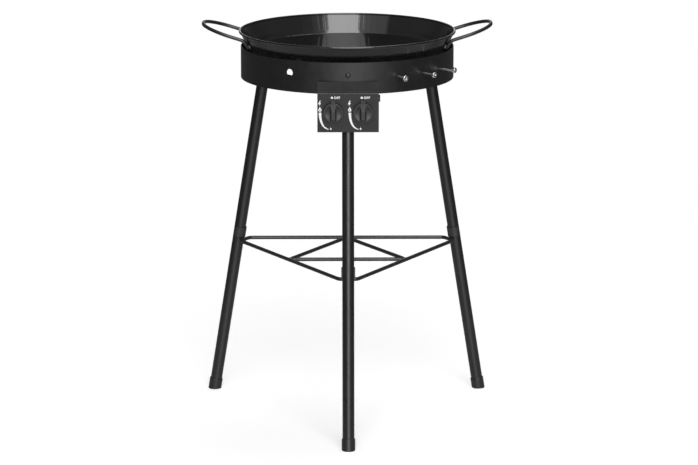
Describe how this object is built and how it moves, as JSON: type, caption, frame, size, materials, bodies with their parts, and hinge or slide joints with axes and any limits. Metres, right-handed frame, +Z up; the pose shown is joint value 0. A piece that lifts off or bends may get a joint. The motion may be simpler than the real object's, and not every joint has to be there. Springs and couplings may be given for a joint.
{
  "type": "griddle pan with gas burner",
  "caption": "Shallow enamelled pan with wire handles on a round wind shield with a double ring gas burner, push-and-turn taps and a braced tripod.",
  "frame": {"origin": "on the floor, under the middle of the whole object's box", "axes": "+Z up; the control panel and the front leg are on the -Y side; +X to the right as seen from the front"},
  "size_m": [0.616, 0.5811, 0.847],
  "materials": {
    "pan_enamel": "glossy black vitreous enamel",
    "handle_black": "semi-gloss black coating on wire",
    "sheet_black": "semi-matt black powder coat",
    "tube_black": "semi-gloss black powder coat",
    "clip_plastic": "black moulded plastic",
    "foot_rubber": "black moulded rubber",
    "bolt_black": "black oxide",
    "peg_bright": "bright plating",
    "zinc_steel": "zinc plating",
    "burner_black": "heat proof matt black",
    "knob_plastic": "fine moulded texture",
    "valve_alloy": "die cast",
    "valve_brass": "turned",
    "bright_steel": "drawn wire and turned rod",
    "igniter_plastic": "white moulded plastic",
    "lead_silicone": "red silicone sleeve",
    "electrode_ceramic": "white glazed ceramic"
  },
  "bodies": {
    "stand": {"bonnet_nuts": "zinc_steel", "brace_clip_front": "clip_plastic", "brace_clip_left": "clip_plastic", "brace_clip_right": "clip_plastic", "brace_inner_wire": "tube_black", "brace_outer_wire": "tube_black", "burner_ring_inner": "burner_black", "burner_ring_outer": "burner_black", "control_panel": "sheet_black", "electrode_bracket": "zinc_steel", "electrode_left": "electrode_ceramic", "electrode_right": "electrode_ceramic", "electrode_tip_left": "bright_steel", "electrode_tip_right": "bright_steel", "feed_tube_inner": "burner_black", "feed_tube_outer": "burner_black", "foot_cap_front": "foot_rubber", "foot_cap_left": "foot_rubber", "foot_cap_right": "foot_rubber", "gas_jets": "valve_brass", "gas_manifold": "tube_black", "igniter_left": "igniter_plastic", "igniter_right": "igniter_plastic", "ignition_lead_left": "lead_silicone", "ignition_lead_right": "lead_silicone", "leg_bolts": "bolt_black", "leg_front": "tube_black", "leg_left": "tube_black", "leg_nuts": "zinc_steel", "leg_right": "tube_black", "leg_socket_front": "sheet_black", "leg_socket_left": "sheet_black", "leg_socket_right": "sheet_black", "pan_support_front": "burner_black", "pan_support_left": "burner_black", "pan_support_right": "burner_black", "panel_nuts": "zinc_steel", "tool_peg_nuts": "zinc_steel", "tool_pegs": "peg_bright", "valve_body_left": "valve_alloy", "valve_body_right": "valve_alloy", "valve_bonnet_left": "valve_brass", "valve_bonnet_right": "valve_brass", "wind_shield": "sheet_black"},
    "pan": {"pan": "pan_enamel", "pan_handle_left": "handle_black", "pan_handle_right": "handle_black"},
    "valve_left": {"valve_plug_left": "valve_brass"},
    "valve_right": {"valve_plug_right": "valve_brass"},
    "knob_left": {"knob_left": "knob_plastic", "return_spring_left": "bright_steel", "valve_spindle_left": "bright_steel"},
    "knob_right": {"knob_right": "knob_plastic", "return_spring_right": "bright_steel", "valve_spindle_right": "bright_steel"}
  },
  "joints": [
    {"name": "pan_lift", "type": "slide", "parent": "stand", "child": "pan", "axis": [0, 0, 1], "range_m": [0, 0.15]},
    {"name": "valve_turn_left", "type": "hinge", "parent": "stand", "child": "valve_left", "pos_m": [-0.03075, -0.16744, 0.695], "axis": [0, -1, 0], "range_deg": [0, 170]},
    {"name": "knob_push_left", "type": "slide", "parent": "valve_left", "child": "knob_left", "axis": [0, 1, 0], "range_m": [0, 0.003], "stiffness_N_per_m": 1500, "springref_m": -0.002},
    {"name": "valve_turn_right", "type": "hinge", "parent": "stand", "child": "valve_right", "pos_m": [0.03075, -0.16744, 0.695], "axis": [0, -1, 0], "range_deg": [0, 170]},
    {"name": "knob_push_right", "type": "slide", "parent": "valve_right", "child": "knob_right", "axis": [0, 1, 0], "range_m": [0, 0.003], "stiffness_N_per_m": 1500, "springref_m": -0.002}
  ]
}
